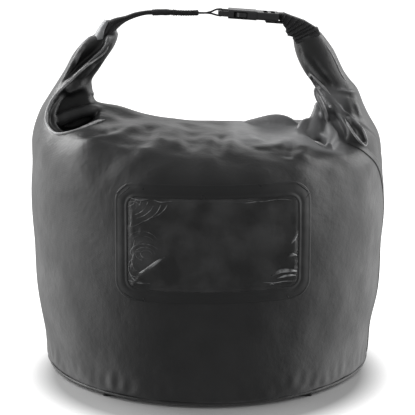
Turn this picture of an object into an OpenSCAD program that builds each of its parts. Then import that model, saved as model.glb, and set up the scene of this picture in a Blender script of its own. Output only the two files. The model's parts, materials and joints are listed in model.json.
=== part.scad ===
// Roll-top dry bag: a welded tube of coated fabric on a round base, its collar rolled down
// and the two ends of the roll drawn up and buckled together into a carrying handle.
// Millimetres. X runs along the roll, the window faces -Y, Z is up, and Z = 0 is the floor.

/* [Body] */
// Radius of the round base
base_r = 160; // [154:1:166]
// Half of the greatest width, below the shoulders
belly_r = 174; // [172:1:178]
// Half of the greatest depth, front to back
belly_d = 163; // [160:1:166]
// Height of the crest, at the top of the roll
crest_h = 236; // [232:1:238]
// Thickness of the coated fabric
fabric_t = 1.2; // [1:0.1:1.6]

/* [Base] */
// Width of the rubber pad under the base
pad_w = 194; // [170:2:196]
// Depth of the pad, front to back
pad_d = 258; // [230:2:258]
// Thickness of the pad
pad_t = 3; // [2:0.5:4]

/* [Window] */
// Width of the window frame, edge to edge
frame_w = 176; // [160:1:178]
// Height of the window frame
frame_h = 106; // [96:1:110]
// Width of the frame's border
border_w = 12; // [8:1:13]
// Height of the window's centre above the floor
window_z = 151; // [140:1:152]
// Offset of the window's centre to the right
window_x = 5; // [0:1:8]

/* [Roll] */
// Length of the straight middle of the roll
roll_l = 196; // [170:2:200]
// Turns of the collar round its stiffeners
roll_turns = 3; // [2:1:3]

/* [Handle] */
// Slope of the handle, down to the right
handle_slope = 4; // [3:0.5:5]
// Height of the handle's frame above the floor
handle_h = 327.4; // [326:0.2:330]
// Height of the swing axis in the handle's frame
swing_z = -72; // [-73:0.5:-71]
// Radius of the rounded foot of each arm
arm_foot_r = 17; // [15:0.5:17]

/* [Buckle] */
// Width of webbing that the buckle takes
webbing_w = 24; // [22:1:25]
// Thickness of the female half
buckle_t = 8.6; // [8:0.2:9]
// Diameter of the cord
cord_d = 1.8; // [1.6:0.1:2]

/* [Hidden] */

fabric = "#3a3b3d";
plastic = "#242527";
web = "#1d1e20";

// ---- shared mathematics ----

// A Catmull-Rom value between the rows b and c of a table, with neighbours a and d
function catmull(a, b, c, d, t) =
    0.5 * (2 * b + (c - a) * t + (2 * a - 5 * b + 4 * c - d) * t * t
        + (3 * b - a - 3 * c + d) * t * t * t);

// The row of a table at a fractional index
function row_at(rows, i) =
    let (last = len(rows) - 1,
        k = min(floor(i), last - 1),
        t = i - k,
        a = k == 0 ? 2 * rows[0] - rows[1] : rows[k - 1],
        d = k + 2 > last ? 2 * rows[last] - rows[last - 1] : rows[k + 2])
    catmull(a, rows[k], rows[k + 1], d, t);

// Rows spread evenly along a table, n steps between neighbours
function refine(rows, n) =
    [for (i = [0 : n * (len(rows) - 1)]) row_at(rows, i / n)];

function unit(v) = v / norm(v);

// The two triangles between points i and i + 1 of ring a and of ring b
function band(a, b, i, n) =
    let (j = (i + 1) % n)
    [[a * n + i, b * n + i, b * n + j], [a * n + i, b * n + j, a * n + j]];

// Faces of a closed skin over rings of n points each, with both ends capped
function skin_faces(rings, n) = concat(
    [for (k = [0 : rings - 2]) for (i = [0 : n - 1]) each band(k, k + 1, i, n)],
    [[for (i = [0 : n - 1]) i]],
    [[for (i = [n - 1 : -1 : 0]) (rings - 1) * n + i]]);

// Faces of a closed skin over rings that themselves close into a loop
function loop_faces(rings, n) =
    [for (k = [0 : rings - 1]) for (i = [0 : n - 1]) each band(k, (k + 1) % rings, i, n)];

module skin(rings) {
    n = len(rings[0]);
    polyhedron(points = [for (r = rings) each r], faces = skin_faces(len(rings), n));
}

module loop_skin(rings) {
    n = len(rings[0]);
    polyhedron(points = [for (r = rings) each r], faces = loop_faces(len(rings), n));
}

// A round tube of radius r that follows a smooth path, its sections standing across it
module tube(path, r, sides) {
    last = len(path) - 1;
    skin([for (k = [0 : last])
        let (along = unit(path[min(k + 1, last)] - path[max(k - 1, 0)]),
            side = unit(cross(along, [0, 1, 0.001])),
            up = cross(side, along))
        [for (i = [0 : sides - 1])
            path[k] + r * (cos(360 * i / sides) * side + sin(360 * i / sides) * up)]]);
}

// ---- the body ----

// Rings of the tube from the base to the crest: half width, front depth, front height,
// rear depth, rear height, height at the sides
wall_rows = [
    [base_r, base_r, pad_t, base_r, pad_t, pad_t],
    [base_r + 3, belly_d - 1, 28, belly_d - 1, 28, 28],
    [base_r + 8, belly_d, 70, belly_d, 70, 70],
    [belly_r - 2, belly_d - 1, 115, belly_d - 1, 115, 118],
    [belly_r, belly_d - 4, 155, belly_d - 5, 152, 160],
    [belly_r - 2, belly_d - 10, 190, belly_d - 15, 181, 193],
    [belly_r - 6, belly_d - 25, 211, belly_d - 35, 200, 214],
    [belly_r - 9, belly_d - 60, 222, belly_d - 70, 211, 226],
    [belly_r - 11, 60, 228, 60, 214, 233],
    [belly_r - 13, 20, crest_h - 4, 30, 216, crest_h + 2]];
wall_sides = 72;
wall_steps = 3;
crest_slope = tan(handle_slope) / crest_h;

// A point of the tube at ring row r and angle a, moved inwards by inset
function wall_point(r, a, inset = 0) =
    let (s = sin(a),
        front = s < 0,
        x = (r[0] - inset) * cos(a),
        y = front ? (r[1] - inset) * s : (r[3] - inset) * s,
        w = s * s,
        z = (front ? r[2] : r[4]) * w + r[5] * (1 - w) - inset * lean(r))
    [x, y, z * (1 - crest_slope * x)];

// How far an inset lowers the surface: nothing on the upright wall, all of it on the shoulder
function lean(r) = let (t = max(0, min(1, (r[2] - 150) / 75))) t * 0.9;

function wall_ring(r, inset) =
    [for (i = [0 : wall_sides - 1]) wall_point(r, 360 * i / wall_sides, inset)];

module wall() {
    rows = refine(wall_rows, wall_steps);
    outer = [for (r = rows) wall_ring(r, 0)];
    inner = [for (k = [len(rows) - 1 : -1 : 0]) wall_ring(rows[k], fabric_t)];
    color(fabric) difference() {
        loop_skin(concat(outer, inner));
        window_cutout();
    }
}

// The hole in the front of the tube, a weld's width smaller all round than the pane
module window_cutout() {
    lap = 4;
    translate([window_x, -belly_d / 2, window_z]) rotate([90, 0, 0])
        linear_extrude(belly_d) polygon(rounded_outline(pane_w - 2 * lap,
            pane_h - 2 * lap, pane_corner));
}

panel_gap = 1.2;
panel_t = 1.4;
module base_panel() {
    color(fabric) translate([0, 0, pad_t])
        cylinder(r = base_r - fabric_t - panel_gap, h = panel_t, $fn = 96);
}

rim_h = 5;
module base_weld_rim() {
    low = pad_t + 0.2;
    high = low + rim_h;
    color(fabric) rotate_extrude($fn = 96)
        polygon([[base_r + 0.5, low], [base_r + 2, low], [base_r + 2.4, high],
            [base_r + 1.5, high]]);
}

pad_corner = 3;
module base_pad() {
    color("#141414") linear_extrude(pad_t) {
        square([pad_w, pad_d - 2 * pad_corner], center = true);
        square([pad_w - 2 * pad_corner, pad_d], center = true);
        for (x = [-1, 1], y = [-1, 1])
            translate([x * (pad_w / 2 - pad_corner), y * (pad_d / 2 - pad_corner)])
                circle(r = pad_corner, $fn = 24);
    }
}

// A loop of [angle, ring index] pairs, lifted off the tube
function patch_ring(loop, lift) =
    [for (p = loop) wall_point(row_at(wall_rows, p[1]), p[0], -lift)];

// A flat ring that lies on the tube between the first and the last of some loops
module wall_patch(loops, low, high) {
    loop_skin(concat([for (l = loops) patch_ring(l, low)],
        [for (k = [len(loops) - 1 : -1 : 0]) patch_ring(loops[k], high)]));
}

// The weld where the tube's sheet overlaps itself, up the right-hand side
seam_angle = -6;
seam_low = 0.45;
seam_high = 1.1;
module side_seam() {
    across = [-4, -2, 0, 2, 4];
    count = 28;
    rings = [for (k = [0 : count])
        let (r = row_at(wall_rows, 0.5 + 7 * k / count))
        concat([for (a = across) wall_point(r, seam_angle + a, -seam_high)],
            [for (a = across) wall_point(r, seam_angle - a, -seam_low)])];
    color(fabric) skin(rings);
}

// ---- the window ----

// The ring index of the wall at a height on the front, by the tube's own table
function front_index(z, i = 1) =
    row_at(wall_rows, i)[2] >= z || i > 8 ? i : front_index(z, i + 0.02);

// A rounded rectangle about the origin: four arcs, each followed by points along a side
side_steps = 10;
function rounded_outline(w, h, r) =
    let (corners = [[1, 1], [-1, 1], [-1, -1], [1, -1]])
    [for (q = [0 : 3])
        let (c = [corners[q][0] * (w / 2 - r), corners[q][1] * (h / 2 - r)],
            next = corners[(q + 1) % 4],
            d = [next[0] * (w / 2 - r), next[1] * (h / 2 - r)],
            out = [r * cos(90 * q + 90), r * sin(90 * q + 90)])
        each concat(
            [for (a = [0 : 18 : 90]) c + r * [cos(90 * q + a), sin(90 * q + a)]],
            [for (k = [1 : side_steps - 1]) c + out + (d - c) * k / side_steps])];

// The same outline laid on the front wall, as [angle, ring index] pairs
function window_loop(w, h, r) =
    [for (p = rounded_outline(w, h, r))
        let (x = window_x + p[0],
            i = front_index((window_z + p[1]) / (1 - crest_slope * x)))
        [-acos(x / row_at(wall_rows, i)[0]), i]];

frame_corner = 15;
pane_corner = 8;
patch_low = 0.3;
frame_high = 1.5;
pane_high = 0.8;
module window_frame() {
    color(fabric) wall_patch([window_loop(frame_w, frame_h, frame_corner),
        window_loop(frame_w - border_w, frame_h - border_w, (frame_corner + pane_corner) / 2),
        window_loop(frame_w - 2 * border_w, frame_h - 2 * border_w, pane_corner)],
        patch_low, frame_high);
}

pane_rings = 6;
pane_w = frame_w - 2 * border_w - 0.6;
pane_h = frame_h - 2 * border_w - 0.6;
module window_pane() {
    rings = [for (k = [0 : pane_rings - 1]) let (s = 1 - k / pane_rings)
        window_loop(pane_w * s, pane_h * s, pane_corner * s)];
    low = [for (k = [pane_rings - 1 : -1 : 0]) patch_ring(rings[k], patch_low)];
    high = [for (k = [0 : pane_rings - 1]) patch_ring(rings[k], pane_high)];
    color("#8fa0a8") skin(concat(low, high));
}

// ---- the rolled collar ----

roll_gap = 0.25;
roll_layer = 2;
core_half = 7;
core_r = 2.4;
roll_y = 4;
roll_z = -103;
roll_lean = 6;

// A stadium-shaped spiral of the doubled collar, as the outline of one strip of fabric
function stadium(r, a) =
    [(cos(a) >= 0 ? 1 : -1) * core_half * min(1, abs(cos(a)) * 3) + r * cos(a), r * sin(a)];
function spiral(offset) =
    [for (a = [0 : 12 : 360 * roll_turns])
        stadium(core_r + offset + (roll_layer + roll_gap) * a / 360, a)];

module collar_roll() {
    edge = spiral(0);
    back = spiral(roll_layer);
    color(fabric) in_handle() translate([0, roll_y, roll_z]) rotate([-roll_lean, 0, 0])
        rotate([90, 0, 90]) translate([0, 0, -roll_l / 2]) linear_extrude(roll_l)
            polygon(concat(edge, [for (i = [len(back) - 1 : -1 : 0]) back[i]]));
}

stiffener_t = 1.2;
stiffener_gap = 0.2;
module stiffener(side) {
    color("#6d6f72") in_handle() translate([0, roll_y, roll_z]) rotate([-roll_lean, 0, 0])
        translate([0, 0, side * (stiffener_t + stiffener_gap) / 2])
            cube([roll_l, 2 * core_half, stiffener_t], center = true);
}

// ---- the handle ----

// The handle's own frame: its X axis runs along the buckle
module in_handle() {
    translate([0, 0, handle_h]) rotate([0, handle_slope, 0]) children();
}

// Centre x, centre z, half width, half depth and lean of each station up an arm
left_stations = [
    [-136, swing_z, 24, arm_foot_r - 0.4, 0],
    [-127, -59, 18.5, 16, 12],
    [-119, -43, 17, 14, 22],
    [-109.5, -26, 16, 13, 32],
    [-101, -13, 13, 11, 45],
    [-93, -4, 9, 8, 90]];
right_stations = [
    [136, swing_z, 23, arm_foot_r - 0.4, 0],
    [130, -53, 21.5, 16, -12],
    [120, -37, 20.5, 15, -24],
    [110, -22, 19.5, 14, -28],
    [103.5, -8, 16.5, 12.5, -20],
    [100.5, 0, 13.5, 11.5, -15]];
arm_sides = 28;

// An arm: a drawn-out skin on a round foot, which lies along the swing axis
module arm(stations) {
    foot = stations[0];
    color(fabric) in_handle() {
        skin([for (s = refine(stations, 3))
            [for (i = [0 : arm_sides - 1])
                let (a = 360 * i / arm_sides, w = s[2] * cos(a))
                [s[0] + w * cos(s[4]), s[3] * sin(a), s[1] - w * sin(s[4])]]]);
        translate([foot[0], 0, swing_z]) rotate([0, 90, 0])
            cylinder(r = arm_foot_r, h = 2 * foot[2] - 1, center = true, $fn = 64);
    }
}

// The narrow strap from the left arm into the whipping
strap_rows = [
    [-92.2, 0, -1.5, 6.2, 6],
    [-86, 0, 3.4, 5.2, 5],
    [-77, 0, 7.2, 3.7, 4],
    [-67, 0, 9.9, 2.9, 3.2],
    [-58, 0, 11.5, 2.5, 2.6],
    [-52, 0, 12, 2.3, 2.3],
    [-34, 0, 12.7, 2.2, 2.2]];
whip_x = -52;
whip_l = 42;
whip_z = 12.1;
whip_tilt = -2.2;
whip_r = 3.7;
whip_turns = 26;
whip_bore = 2.5;

module left_strap() {
    color(web) in_handle() skin([for (s = refine(strap_rows, 3))
        [for (i = [0 : 15])
            [s[0], s[4] * cos(360 * i / 16), s[2] + s[3] * sin(360 * i / 16)]]]);
}

module whipping() {
    pitch = whip_l / whip_turns;
    color(web) in_handle() translate([whip_x, 0, whip_z]) rotate([0, 90 + whip_tilt, 0])
        rotate_extrude($fn = 48) intersection() {
            union() {
                square([whip_r - 0.5, whip_l]);
                for (k = [0 : whip_turns - 1])
                    translate([whip_r - pitch / 2, pitch * (k + 0.5)])
                        circle(d = pitch * 1.04, $fn = 24);
            }
            translate([whip_bore, 0]) square([whip_r, whip_l]);
        }
}

// The cord: two legs out of the whipping that part round the female half's bar
buckle_x = 9;
buckle_z = 16;
bar_r = 2.2;
bar_x = buckle_x + bar_r;
bight_r = bar_r + cord_d / 2 + 0.15;
leg_gap = cord_d / 2 + 0.05;
leg_end = [bar_x - 1, -leg_gap, buckle_z + bight_r];
bight = [for (a = [90 : -20 : -90])
    [bar_x + bight_r * cos(a), -leg_gap * sin(a), buckle_z + bight_r * sin(a)]];
leg = [[-33, -leg_gap, 13], [-24, -leg_gap, 13.3], [-16, -leg_gap, 13.7],
    [-8, -leg_gap, 14.1], [-2, -leg_gap, 14.7], [3, -leg_gap, 16.4], [7, -leg_gap, 18.5]];
return_leg = [[7, leg_gap, 13.3], [3, leg_gap, 14.2], [-2, leg_gap, 14.4],
    [-8, leg_gap, 14.1], [-16, leg_gap, 13.7], [-24, leg_gap, 13.3], [-33, leg_gap, 13]];

module cord_loop() {
    color(web) in_handle() tube(refine(concat(leg, bight, return_leg), 2), cord_d / 2, 10);
}

// ---- the buckle ----

half_w = webbing_w / 2 + 4;
rail_w = 3.4;
female_l = 37;
mouth_l = 9;
window_l = 13;
guide_w = 6;
latch_t = 4;
clear = 0.3;
base_l = 21;
latch_root = female_l - 1.6;
slot_w = 4.2;
slot_near = female_l + 6.5;
slot_far = female_l + 13.5;
male_end = female_l + base_l;
latch_y = 8;

module in_buckle() {
    in_handle() translate([buckle_x, 0, buckle_z]) children();
}

// A block with its four long edges rounded, standing from x0 to x1
module rounded_block(x0, x1, w, t, r) {
    translate([x0, 0, 0]) rotate([90, 0, 90]) linear_extrude(x1 - x0) {
        square([w - 2 * r, t], center = true);
        square([w, t - 2 * r], center = true);
        for (y = [-1, 1], z = [-1, 1])
            translate([y * (w / 2 - r), z * (t / 2 - r)]) circle(r = r, $fn = 32);
    }
}

module buckle_female() {
    slot_end = 2 * bar_r + 5.4;
    guide_h = latch_t + 2 * clear;
    color(plastic) in_buckle() {
        difference() {
            rounded_block(slot_end, female_l, 2 * half_w, buckle_t, 2.4);
            translate([slot_end + 3, -half_w + rail_w, -guide_h / 2])
                cube([female_l, 2 * (half_w - rail_w), guide_h]);
            translate([female_l - mouth_l - window_l, -half_w - 1, -guide_h / 2 - 0.5])
                cube([window_l, 2 * half_w + 2, guide_h + 1]);
        }
        for (y = [-1, 1]) translate([0, y * (half_w - 2), 0])
            rounded_block(1, slot_end + 0.5, rail_w + 0.2, 5.4, 1.2);
        translate([bar_r, 0, 0]) rotate([90, 0, 0])
            cylinder(r = bar_r, h = 2 * half_w - 4, center = true, $fn = 40);
    }
}

module buckle_male() {
    color(plastic) in_buckle() {
        difference() {
            rounded_block(female_l + clear, male_end, 2 * half_w, 7.4, 2);
            for (x = [slot_near, slot_far])
                translate([x, -webbing_w / 2 - 0.8, -10]) cube([slot_w, webbing_w + 1.6, 20]);
        }
        translate([16, -guide_w / 2, -latch_t / 2]) cube([female_l - 15, guide_w, latch_t]);
    }
}

// One of the two spring arms: side is -1 at the front and 1 at the rear
module latch_arm(side) {
    color(plastic) in_buckle() scale([1, side, 1]) translate([0, 0, -latch_t / 2])
        linear_extrude(latch_t) {
            translate([latch_root, latch_y]) circle(r = 1.6, $fn = 32);
            polygon([[latch_root, latch_y - 1.6], [latch_root + 0.4, latch_y + 1.5],
                [26, 11.4], [15, 12.4], [13.5, 10.6], [15, 9.4], [26, 9]]);
            polygon([[27.4, 11], [27.4, half_w - 0.6], [24, half_w + 0.5], [20, half_w + 0.3],
                [16.5, half_w - 2.2], [15, 12.2], [20, 10.5]]);
        }
}

// ---- the right-hand webbing ----

// Centre x, centre z, slope, twist, half width and thickness of the webbing's sections,
// from the near slot over the bars and down into the right arm, where it is folded up
webbing_rows = [
    [buckle_x + slot_near + 1.4, 20.8, 0, 0, 10, 1.4],
    [60, 20.8, 0, 0, 10, 1.4],
    [66.5, 20.6, -4, 0, 10, 1.4],
    [71.5, 19, -14, 4, 10, 2],
    [76, 16.8, -20, 10, 10, 2.8],
    [81, 15, -24, 18, 10, 3.2],
    [86.5, 12.2, -32, 34, 10, 3.2],
    [91.5, 8.6, -44, 48, 10, 3.2],
    [96.5, 4, -56, 56, 10, 3.2],
    [98.6, 1, -62, 58, 10, 3.2]];
webbing_t = 1.4;

function webbing_section(r) =
    let (up = [sin(-r[2]), 0, cos(r[2])],
        across = [0, cos(r[3]), 0] + sin(r[3]) * up,
        out = cos(r[3]) * up - [0, sin(r[3]), 0],
        half = r[5] / 2)
    [for (p = [[-1, -1], [1, -1], [1, 1], [-1, 1]])
        [r[0], 0, r[1]] + p[0] * r[4] * across + p[1] * half * out];

module right_webbing() {
    drop = 11.6;
    color(web) in_handle() {
        skin([for (r = refine(webbing_rows, 3)) webbing_section(r)]);
        translate([buckle_x + slot_near + 1.4 + webbing_t / 2, 0, 21.5 - drop / 2])
            cube([webbing_t, 20, drop], center = true);
    }
}

// The webbing's free end, back under the bars from the near slot
module webbing_tail() {
    color(web) in_buckle() translate([slot_near + 1.4 + webbing_t, -10, -6.1])
        cube([18, 20, webbing_t]);
}

// Rows of stitches, each a short thread that stands on the strap
module stitches(count, pitch, length) {
    for (k = [0 : count - 1]) translate([0, (k - (count - 1) / 2) * pitch, 0])
        rotate([0, 90, 0]) cylinder(r = 0.35, h = length, center = true, $fn = 16);
}

module left_bartack() {
    color("#303030") in_handle() translate([-86, 0, 8.8]) rotate([0, -34, 0])
        stitches(5, 1.1, 3);
}

module right_bartack() {
    color("#303030") in_handle() translate([62, 0, 21.6]) stitches(9, 2, 3.4);
}

wall();
base_panel();
base_weld_rim();
base_pad();
side_seam();
window_frame();
window_pane();
collar_roll();
stiffener(-1);  // front_stiffener
stiffener(1);  // rear_stiffener
arm(left_stations);  // left_arm
arm(right_stations);  // right_arm
left_strap();
whipping();
cord_loop();
buckle_female();
buckle_male();
latch_arm(-1);  // latch_arm_front
latch_arm(1);  // latch_arm_rear
right_webbing();
webbing_tail();
left_bartack();
right_bartack();
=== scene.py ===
"""The looks of the roll-top dry bag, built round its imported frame.

Lengths here are in millimetres, as in the design, and meshes are scaled to metres when they are made.
"""
import json
import math

import bmesh
import bpy
import numpy as np
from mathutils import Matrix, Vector
from mathutils.bvhtree import BVHTree


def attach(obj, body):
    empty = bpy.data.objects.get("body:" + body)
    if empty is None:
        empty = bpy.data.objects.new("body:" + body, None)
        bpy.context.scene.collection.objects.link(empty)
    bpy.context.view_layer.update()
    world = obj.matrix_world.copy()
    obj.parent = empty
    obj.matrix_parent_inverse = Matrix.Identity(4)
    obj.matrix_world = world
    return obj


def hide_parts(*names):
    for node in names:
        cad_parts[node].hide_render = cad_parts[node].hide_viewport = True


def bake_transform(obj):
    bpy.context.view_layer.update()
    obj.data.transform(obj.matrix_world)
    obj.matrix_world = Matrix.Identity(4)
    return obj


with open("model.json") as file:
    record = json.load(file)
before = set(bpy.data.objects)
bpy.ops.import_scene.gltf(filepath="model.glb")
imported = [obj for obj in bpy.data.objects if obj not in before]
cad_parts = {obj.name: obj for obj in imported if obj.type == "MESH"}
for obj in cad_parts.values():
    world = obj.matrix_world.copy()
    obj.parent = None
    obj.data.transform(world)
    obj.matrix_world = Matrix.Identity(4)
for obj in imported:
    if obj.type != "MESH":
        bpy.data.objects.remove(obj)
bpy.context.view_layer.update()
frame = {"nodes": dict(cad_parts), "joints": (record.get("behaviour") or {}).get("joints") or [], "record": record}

MM = 0.001

# ---------------------------------------------------------------- the frame's own places

joints = {j["name"]: j for j in frame["joints"]}
swing = joints["handle_swing"]
# The swing's line in the handle's own frame, whose zero is at the buckle
SWING_Z = -72.0
ALONG = np.array(swing["axis"], float)
UP = np.array([-ALONG[2], 0.0, ALONG[0]])
HANDLE = np.array(swing["pos_m"], float) / MM - SWING_Z * UP


def handle_point(points):
    """Points in the handle's own frame (X along the buckle, Z up) as row-frame points, in mm."""
    p = np.asarray(points, float)
    return HANDLE + p[..., :1] * ALONG + p[..., 1:2] * np.array([0.0, 1.0, 0.0]) + p[..., 2:3] * UP


# ---------------------------------------------------------------- mathematics

def curve_points(p, steps):
    """Points along a smooth curve, from the second of its points to just before the last but one."""
    out = []
    for k in range(1, len(p) - 2):
        a, b, c, d = p[k - 1:k + 3]
        for t in np.arange(steps) / steps:
            out.append(0.5 * (2 * b + (c - a) * t + (2 * a - 5 * b + 4 * c - d) * t ** 2
                              + (3 * b - a - 3 * c + d) * t ** 3))
    return out


def catmull(rows, steps):
    """A smooth run of rows through a list of rows, with so many steps between neighbours."""
    p = np.asarray(rows, float)
    p = np.concatenate([[2 * p[0] - p[1]], p, [2 * p[-1] - p[-2]]])
    return np.array(curve_points(p, steps) + [p[-2]])


def catmull_loop(points, steps):
    """The same for a closed loop of points."""
    p = np.asarray(points, float)
    return np.array(curve_points(np.concatenate([p[-1:], p, p[:2]]), steps))


def smooth(t):
    """Eases from 0 to 1 while t goes from 0 to 1."""
    t = np.clip(t, 0.0, 1.0)
    return t * t * (3 - 2 * t)


def turns(count):
    """Angles evenly round a circle, in radians."""
    return np.arange(count) * 2 * math.pi / count


def columns(*values):
    """Points from their coordinates; a single number stands for a whole column."""
    return np.stack(np.broadcast_arrays(*values), 1)


def run_lengths(p):
    """How far along a polyline each of its points lies."""
    return np.concatenate([[0], np.cumsum(np.linalg.norm(np.diff(p, axis=0), axis=1))])


def resample(path, step):
    """Points spaced evenly along a polyline."""
    p = np.asarray(path, float)
    s = run_lengths(p)
    q = np.linspace(0, s[-1], max(2, int(round(s[-1] / step)) + 1))
    return np.stack([np.interp(q, s, p[:, k]) for k in range(p.shape[1])], 1)


NOISE_WAVES = 14


def value_noise(p, scale, seed):
    """Smooth noise from about -1 to 1 at points p, with features about scale across."""
    g = np.random.default_rng(seed)
    waves = g.normal(size=(NOISE_WAVES, 3))
    waves /= np.linalg.norm(waves, axis=1, keepdims=True)
    waves *= g.uniform(0.6, 1.7, (NOISE_WAVES, 1)) * 2 * math.pi / scale
    phase = g.uniform(0, 2 * math.pi, NOISE_WAVES)
    return np.sin(p @ waves.T + phase).sum(1) / math.sqrt(NOISE_WAVES) * 0.9


# ---------------------------------------------------------------- meshes

# Points nearer to each other than this, in metres, are one point
WELD_DISTANCE = 2e-6


def new_mesh(name, points, faces, material):
    """An object from points in mm, with its doubled points merged and its faces turned outwards."""
    mesh = bpy.data.meshes.new(name)
    mesh.from_pydata((np.asarray(points, float) * MM).tolist(), [], faces)
    mesh.update()
    bm = bmesh.new()
    bm.from_mesh(mesh)
    bmesh.ops.remove_doubles(bm, verts=bm.verts, dist=WELD_DISTANCE)
    bmesh.ops.recalc_face_normals(bm, faces=bm.faces)
    bm.to_mesh(mesh)
    bm.free()
    mesh.shade_smooth()
    obj = bpy.data.objects.new(name, mesh)
    bpy.context.scene.collection.objects.link(obj)
    mesh.materials.append(material)
    return obj


def grid_faces(rows, cols, closed=True):
    """The faces of a grid of points, closed or open round its columns."""
    faces = []
    for r in range(rows - 1):
        for c in range(cols if closed else cols - 1):
            d = (c + 1) % cols
            faces.append((r * cols + c, r * cols + d, (r + 1) * cols + d, (r + 1) * cols + c))
    return faces


def tube_faces(rows, cols):
    """The faces of a tube of rings, with both its ends closed."""
    ends = [tuple(range(cols)), tuple((rows - 1) * cols + c for c in reversed(range(cols)))]
    return grid_faces(rows, cols) + ends


def modifier(obj, kind, **settings):
    m = obj.modifiers.new(kind.lower(), kind)
    for key, value in settings.items():
        setattr(m, key, value)


def apply_modifiers(obj):
    """Makes what the modifiers show the object's own mesh."""
    graph = bpy.context.evaluated_depsgraph_get()
    mesh = bpy.data.meshes.new_from_object(obj.evaluated_get(graph))
    obj.modifiers.clear()
    old = obj.data
    obj.data = mesh
    bpy.data.meshes.remove(old)


def frames_along(path):
    """Unit side and up vectors that stand across a path, without twist."""
    p = np.asarray(path, float)
    t = np.gradient(p, axis=0)
    t /= np.linalg.norm(t, axis=1, keepdims=True)
    side = np.zeros_like(p)
    up = np.zeros_like(p)
    s = np.array([0.0, 1.0, 0.0])
    for k in range(len(p)):
        s = s - t[k] * (s @ t[k])
        s /= np.linalg.norm(s)
        side[k] = s
        up[k] = np.cross(t[k], s)
    return side, up


# ---------------------------------------------------------------- materials

def material(name, color, roughness, specular, **sockets):
    """A material and its shader, with constants on the shader's own sockets."""
    m = bpy.data.materials.new(name)
    m.use_nodes = True
    shader = m.node_tree.nodes["Principled BSDF"]
    shader.inputs["Base Color"].default_value = (*color, 1.0)
    shader.inputs["Roughness"].default_value = roughness
    shader.inputs["Specular IOR Level"].default_value = specular
    for key, value in sockets.items():
        shader.inputs[key.replace("_", " ")].default_value = value
    return m, shader


def node(m, kind, **settings):
    """A node of a material or of the world: settings are its inputs' values or its properties."""
    n = m.node_tree.nodes.new(kind)
    for key, value in settings.items():
        if key in n.inputs:
            n.inputs[key].default_value = value
        else:
            setattr(n, key, value)
    return n


def link(m, out_node, out_name, in_node, in_name):
    m.node_tree.links.new(out_node.outputs[out_name], in_node.inputs[in_name])


def noise(m, coords, scale, detail=3.0):
    n = node(m, "ShaderNodeTexNoise", Scale=scale, Detail=detail, Roughness=0.55)
    link(m, coords, "Object", n, "Vector")
    return n


def map_value(m, source, out_name, low, high, to_low=0.0, to_high=1.0):
    """Maps the values from low to high onto those from to_low to to_high."""
    r = node(m, "ShaderNodeMapRange",
             **{"From Min": low, "From Max": high, "To Min": to_low, "To Max": to_high})
    link(m, source, out_name, r, "Value")
    return r


def ramp(m, source, out_name, low, high, color_low, color_high):
    """A colour that goes from color_low to color_high while the source goes from low to high."""
    share = map_value(m, source, out_name, low, high)
    mix = node(m, "ShaderNodeMix", data_type="RGBA", A=(*color_low, 1.0), B=(*color_high, 1.0))
    link(m, share, "Result", mix, "Factor")
    return mix


def relief(m, shader, *layers):
    """Bumps the surface: each layer is a source, its output, a strength and a depth in metres."""
    last = None
    for source, out_name, strength, depth in layers:
        b = node(m, "ShaderNodeBump", Strength=strength, Distance=depth)
        link(m, source, out_name, b, "Height")
        if last is not None:
            link(m, last, "Normal", b, "Normal")
        last = b
    link(m, last, "Normal", shader, "Normal")


def weave(m, coords, pitch, directions):
    """Ribs in some directions, added up: each direction is the vector the ribs step along."""
    total = None
    for direction in directions:
        dot = node(m, "ShaderNodeVectorMath", operation="DOT_PRODUCT")
        dot.inputs[1].default_value = [d * 2 * math.pi / (pitch * MM) for d in direction]
        link(m, coords, "Object", dot, 0)
        wave = node(m, "ShaderNodeMath", operation="SINE")
        link(m, dot, "Value", wave, 0)
        if total is None:
            total = wave
        else:
            add = node(m, "ShaderNodeMath", operation="ADD")
            link(m, total, 0, add, 0)
            link(m, wave, 0, add, 1)
            total = add
    return total


# Noise stays mostly between these two values, which is where it is mapped from
LOW, HIGH = 0.3, 0.7


def finish(name, color, roughness, specular, grain, tint=None, satin=None, **sockets):
    """A plain material: a fine grain over it, and a cloudy tint or a cloudy satin if they are given.

    grain is scale, detail, strength and depth; tint is scale and two colours; satin is scale and
    two roughnesses."""
    m, shader = material(name, color, roughness, specular, **sockets)
    coords = node(m, "ShaderNodeTexCoord")
    if tint:
        scale, dark, light = tint
        clouded = ramp(m, noise(m, coords, scale), "Fac", LOW, HIGH, dark, light)
        link(m, clouded, "Result", shader, "Base Color")
    if satin:
        scale, to_low, to_high = satin
        sheen = map_value(m, noise(m, coords, scale), "Fac", LOW, HIGH, to_low, to_high)
        link(m, sheen, "Result", shader, "Roughness")
    scale, detail, strength, depth = grain
    relief(m, shader, (noise(m, coords, scale, detail), "Fac", strength, depth))
    return m


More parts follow.
